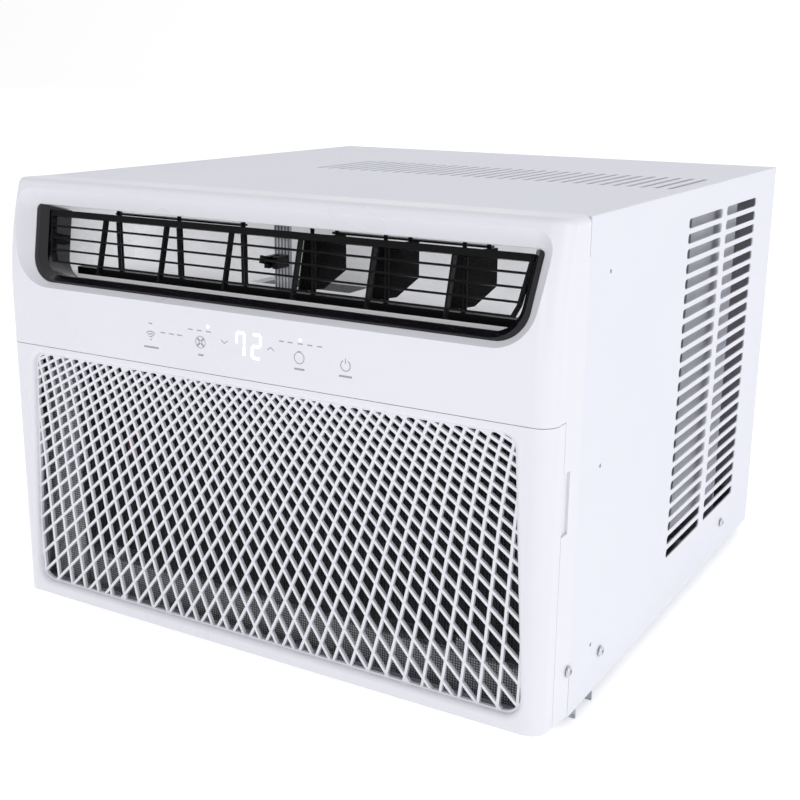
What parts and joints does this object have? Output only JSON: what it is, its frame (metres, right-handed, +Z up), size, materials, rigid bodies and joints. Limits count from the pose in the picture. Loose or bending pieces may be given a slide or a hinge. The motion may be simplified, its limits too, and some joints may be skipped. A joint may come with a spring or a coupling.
{
  "type": "window air conditioner",
  "caption": "Window air conditioner with a tilting intake panel, diamond lattice, tilting louver grid, steerable vanes, and slotted steel cabinet.",
  "frame": {"origin": "on the surface the unit stands on, under the middle of its outline", "axes": "+X is to the right seen from the room, +Y points outdoors, +Z is up"},
  "size_m": [0.5044, 0.534, 0.3804],
  "materials": {
    "white_plastic": "satin",
    "cabinet_paint": "satin powder coat",
    "dark_plastic": "satin",
    "dark_gloss": "gloss",
    "duct_plastic": "matte",
    "clear_plastic": "gloss",
    "grey_plastic": "matte",
    "filter_net": "matte",
    "zinc_steel": "satin",
    "black_wire": "satin",
    "rubber": "matte",
    "screw_steel": "bright",
    "fin_aluminium": "satin",
    "copper": "satin",
    "foam": "matte",
    "fan_plastic": "matte",
    "motor_steel": "satin",
    "black_paint": "satin",
    "board": "matte"
  },
  "bodies": {
    "cabinet": {"accumulator": "black_paint", "base_pan": "zinc_steel", "blower_housing": "foam", "bulkhead": "zinc_steel", "cabinet_screws": "screw_steel", "cabinet_side_left": "cabinet_paint", "cabinet_side_right": "cabinet_paint", "cabinet_top": "cabinet_paint", "centre_post": "clear_plastic", "coil_sensor": "copper", "compressor": "black_paint", "compressor_grommets": "rubber", "condenser_bends": "copper", "condenser_end_plates": "zinc_steel", "condenser_fins": "fin_aluminium", "control_board": "board", "cord_grommet": "rubber", "discharge_line": "copper", "display_module": "dark_plastic", "drain_plug": "rubber", "drip_tray": "foam", "electrical_box": "grey_plastic", "evaporator_bends": "copper", "evaporator_end_plates": "zinc_steel", "evaporator_fins": "fin_aluminium", "fan_motor": "motor_steel", "fan_shroud": "grey_plastic", "front_frame": "white_plastic", "liquid_line": "copper", "motor_bracket": "zinc_steel", "outlet_duct": "duct_plastic", "outlet_frame": "dark_gloss", "post_bearing": "dark_plastic", "rear_feet": "rubber", "rear_guard": "black_wire", "rear_panel": "cabinet_paint", "run_capacitor": "motor_steel", "sill_rail": "zinc_steel", "suction_line": "copper", "vane_rail_lower": "dark_plastic", "vane_rail_upper": "duct_plastic"},
    "intake": {"intake_panel": "white_plastic", "intake_lattice": "white_plastic", "filter_frame": "grey_plastic", "filter_mesh": "filter_net"},
    "louver": {"louver_grid": "dark_plastic"},
    "rotor": {"motor_shaft": "screw_steel", "blower_wheel": "fan_plastic", "condenser_fan": "fan_plastic"},
    "vane_left_1": {"vane_left_1": "dark_plastic"},
    "vane_left_2": {"vane_left_2": "dark_plastic"},
    "vane_left_3": {"vane_left_3": "dark_plastic"},
    "vane_link_left": {"vane_link_left": "dark_plastic"},
    "vane_right_1": {"vane_right_1": "dark_plastic"},
    "vane_right_2": {"vane_right_2": "dark_plastic"},
    "vane_right_3": {"vane_right_3": "dark_plastic"},
    "vane_link_right": {"vane_link_right": "dark_plastic"}
  },
  "joints": [
    {"name": "panel_tilt", "type": "hinge", "parent": "cabinet", "child": "intake", "pos_m": [0, -0.246, 0.0165], "axis": [1, 0, 0], "range_deg": [0, 30]},
    {"name": "louver_tilt", "type": "hinge", "parent": "cabinet", "child": "louver", "pos_m": [0, -0.22697, 0.32801], "axis": [1, 0, 0], "range_deg": [-10, 10]},
    {"name": "rotor_spin", "type": "hinge", "parent": "cabinet", "child": "rotor", "pos_m": [-0.06, 0, 0.178], "axis": [0, 1, 0], "continuous": true},
    {"name": "vane_left_1_turn", "type": "hinge", "parent": "cabinet", "child": "vane_left_1", "pos_m": [-0.16, -0.2215, 0.329], "axis": [0, 0, 1], "range_deg": [-80, 0]},
    {"name": "vane_left_2_turn", "type": "hinge", "parent": "cabinet", "child": "vane_left_2", "pos_m": [-0.096, -0.2215, 0.329], "axis": [0, 0, 1], "range_deg": [-80, 0]},
    {"name": "vane_left_3_turn", "type": "hinge", "parent": "cabinet", "child": "vane_left_3", "pos_m": [-0.032, -0.2215, 0.329], "axis": [0, 0, 1], "range_deg": [-80, 0]},
    {"name": "vane_link_left_turn", "type": "hinge", "parent": "vane_left_1", "child": "vane_link_left", "pos_m": [-0.1744, -0.20434, 0.3505], "axis": [0, 0, 1], "range_deg": [0, 80]},
    {"name": "vane_right_1_turn", "type": "hinge", "parent": "cabinet", "child": "vane_right_1", "pos_m": [0.032, -0.2215, 0.329], "axis": [0, 0, 1], "range_deg": [-17.5, 62.5]},
    {"name": "vane_right_2_turn", "type": "hinge", "parent": "cabinet", "child": "vane_right_2", "pos_m": [0.096, -0.2215, 0.329], "axis": [0, 0, 1], "range_deg": [-17.5, 62.5]},
    {"name": "vane_right_3_turn", "type": "hinge", "parent": "cabinet", "child": "vane_right_3", "pos_m": [0.16, -0.2215, 0.329], "axis": [0, 0, 1], "range_deg": [-17.5, 62.5]},
    {"name": "vane_link_right_turn", "type": "hinge", "parent": "vane_right_1", "child": "vane_link_right", "pos_m": [0.04057, -0.20081, 0.3505], "axis": [0, 0, 1], "range_deg": [-62.5, 17.5]}
  ],
  "couplings": [
    {"joint": "vane_left_2_turn", "follows": "vane_left_1_turn", "ratio": 1},
    {"joint": "vane_left_3_turn", "follows": "vane_left_1_turn", "ratio": 1},
    {"joint": "vane_link_left_turn", "follows": "vane_left_1_turn", "ratio": -1},
    {"joint": "vane_right_2_turn", "follows": "vane_right_1_turn", "ratio": 1},
    {"joint": "vane_right_3_turn", "follows": "vane_right_1_turn", "ratio": 1},
    {"joint": "vane_link_right_turn", "follows": "vane_right_1_turn", "ratio": -1}
  ]
}
